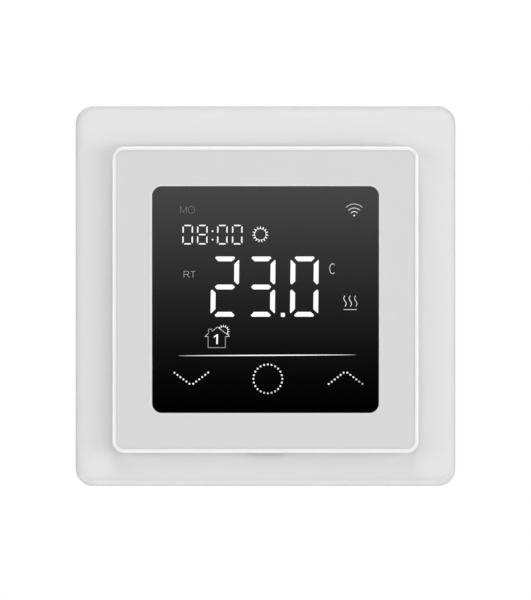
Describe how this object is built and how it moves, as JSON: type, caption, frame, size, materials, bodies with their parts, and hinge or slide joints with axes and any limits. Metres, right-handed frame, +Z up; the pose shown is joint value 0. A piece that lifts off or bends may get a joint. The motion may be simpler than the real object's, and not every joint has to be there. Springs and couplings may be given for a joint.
{
  "type": "wall thermostat",
  "caption": "Square flush wall thermostat with a raised black display window, clip-on front and frame, steel mounting plate and rear screw terminals.",
  "frame": {"origin": "on the wall plane, at the centre of the flush box and of its fixing screws", "axes": "+Z up and +X right as seen from the room, +Y into the wall, so the display faces -Y"},
  "size_m": [0.084, 0.042, 0.084],
  "materials": {
    "white_plastic": "fine satin texture, moulded",
    "black_lens": "polished acrylic, printed black behind",
    "foam_tape": "matt adhesive foam",
    "display_glass": "polished glass with polariser",
    "light_guide": "milky diffusing plastic",
    "led_body": "clear resin on a white base",
    "elastomer": "soft silicone strip",
    "black_plastic": "moulded, fine texture",
    "spring_steel": "nickel plated wire",
    "board_green": "solder resist over glass fibre laminate",
    "board_blue": "blue solder resist",
    "chip_package": "moulded epoxy with tinned leads",
    "tinplate": "tinned sheet",
    "cell_steel": "bright nickel plated",
    "sensor_resin": "dipped epoxy bead",
    "housing_plastic": "light grey, spark eroded texture",
    "zinc_steel": "zinc plated",
    "screw_steel": "zinc plated",
    "clamp_steel": "yellow passivated zinc plate",
    "contact_brass": "tin flashed brass",
    "terminal_plastic": "dark grey polyamide",
    "relay_case": "moulded black",
    "ferrite": "sintered",
    "coil_tape": "yellow polyester tape",
    "film_capacitor": "filled box",
    "can_capacitor": "dark sleeve over an aluminium can",
    "varistor_blue": "dipped epoxy",
    "fuse_brown": "moulded"
  },
  "bodies": {
    "base": {"mounting_yoke": "zinc_steel", "base_housing": "housing_plastic", "base_lid": "housing_plastic", "housing_screws": "screw_steel", "power_board": "board_green", "power_board_screws": "screw_steel", "relay": "relay_case", "transformer_core": "ferrite", "transformer_coil": "coil_tape", "safety_capacitor": "film_capacitor", "smoothing_capacitors": "can_capacitor", "varistor": "varistor_blue", "fuse": "fuse_brown", "bridge_rectifier": "black_plastic", "link_socket": "black_plastic", "terminal_block": "terminal_plastic", "terminal_contacts": "contact_brass"},
    "front": {"front_cover": "white_plastic", "display_window": "black_lens", "window_tape": "foam_tape", "lcd_panel": "display_glass", "backlight_panel": "light_guide", "backlight_leds": "led_body", "lcd_contact_strip": "elastomer", "lcd_carrier": "black_plastic", "key_light_guide": "light_guide", "key_leds": "led_body", "touch_spring_down": "spring_steel", "touch_spring_power": "spring_steel", "touch_spring_up": "spring_steel", "display_board": "board_green", "microcontroller": "chip_package", "wireless_board": "board_blue", "wireless_shield": "tinplate", "clock_cell": "cell_steel", "cell_clip": "tinplate", "room_sensor": "sensor_resin", "link_pin_bar": "black_plastic", "link_pins": "contact_brass", "module_back": "white_plastic", "module_screws": "screw_steel"},
    "frame": {"decor_frame": "white_plastic"},
    "screw_1": {"terminal_screw_1": "screw_steel"},
    "clamp_1": {"terminal_clamp_1": "clamp_steel"},
    "screw_2": {"terminal_screw_2": "screw_steel"},
    "clamp_2": {"terminal_clamp_2": "clamp_steel"},
    "screw_3": {"terminal_screw_3": "screw_steel"},
    "clamp_3": {"terminal_clamp_3": "clamp_steel"},
    "screw_4": {"terminal_screw_4": "screw_steel"},
    "clamp_4": {"terminal_clamp_4": "clamp_steel"},
    "screw_5": {"terminal_screw_5": "screw_steel"},
    "clamp_5": {"terminal_clamp_5": "clamp_steel"},
    "screw_6": {"terminal_screw_6": "screw_steel"},
    "clamp_6": {"terminal_clamp_6": "clamp_steel"}
  },
  "joints": [
    {"name": "front_pull_off", "type": "slide", "parent": "base", "child": "front", "axis": [0, -1, 0], "range_m": [0, 0.04]},
    {"name": "frame_lift_off", "type": "slide", "parent": "base", "child": "frame", "axis": [0, -1, 0], "range_m": [0, 0.02]},
    {"name": "screw_turn_1", "type": "hinge", "parent": "base", "child": "screw_1", "pos_m": [-0.016, 0.023, -0.0152], "axis": [0, -1, 0], "range_deg": [0, 1729]},
    {"name": "clamp_close_1", "type": "slide", "parent": "base", "child": "clamp_1", "axis": [0, 1, 0], "range_m": [0, 0.0024]},
    {"name": "screw_turn_2", "type": "hinge", "parent": "base", "child": "screw_2", "pos_m": [-0.0096, 0.023, -0.0152], "axis": [0, -1, 0], "range_deg": [0, 1729]},
    {"name": "clamp_close_2", "type": "slide", "parent": "base", "child": "clamp_2", "axis": [0, 1, 0], "range_m": [0, 0.0024]},
    {"name": "screw_turn_3", "type": "hinge", "parent": "base", "child": "screw_3", "pos_m": [-0.0032, 0.023, -0.0152], "axis": [0, -1, 0], "range_deg": [0, 1729]},
    {"name": "clamp_close_3", "type": "slide", "parent": "base", "child": "clamp_3", "axis": [0, 1, 0], "range_m": [0, 0.0024]},
    {"name": "screw_turn_4", "type": "hinge", "parent": "base", "child": "screw_4", "pos_m": [0.0032, 0.023, -0.0152], "axis": [0, -1, 0], "range_deg": [0, 1729]},
    {"name": "clamp_close_4", "type": "slide", "parent": "base", "child": "clamp_4", "axis": [0, 1, 0], "range_m": [0, 0.0024]},
    {"name": "screw_turn_5", "type": "hinge", "parent": "base", "child": "screw_5", "pos_m": [0.0096, 0.023, -0.0152], "axis": [0, -1, 0], "range_deg": [0, 1729]},
    {"name": "clamp_close_5", "type": "slide", "parent": "base", "child": "clamp_5", "axis": [0, 1, 0], "range_m": [0, 0.0024]},
    {"name": "screw_turn_6", "type": "hinge", "parent": "base", "child": "screw_6", "pos_m": [0.016, 0.023, -0.0152], "axis": [0, -1, 0], "range_deg": [0, 1729]},
    {"name": "clamp_close_6", "type": "slide", "parent": "base", "child": "clamp_6", "axis": [0, 1, 0], "range_m": [0, 0.0024]}
  ],
  "couplings": [
    {"joint": "frame_lift_off", "follows": "front_pull_off", "ratio": 0.5},
    {"joint": "screw_turn_1", "follows": "clamp_close_1", "rad_per_m": 12566},
    {"joint": "screw_turn_2", "follows": "clamp_close_2", "rad_per_m": 12566},
    {"joint": "screw_turn_3", "follows": "clamp_close_3", "rad_per_m": 12566},
    {"joint": "screw_turn_4", "follows": "clamp_close_4", "rad_per_m": 12566},
    {"joint": "screw_turn_5", "follows": "clamp_close_5", "rad_per_m": 12566},
    {"joint": "screw_turn_6", "follows": "clamp_close_6", "rad_per_m": 12566}
  ]
}
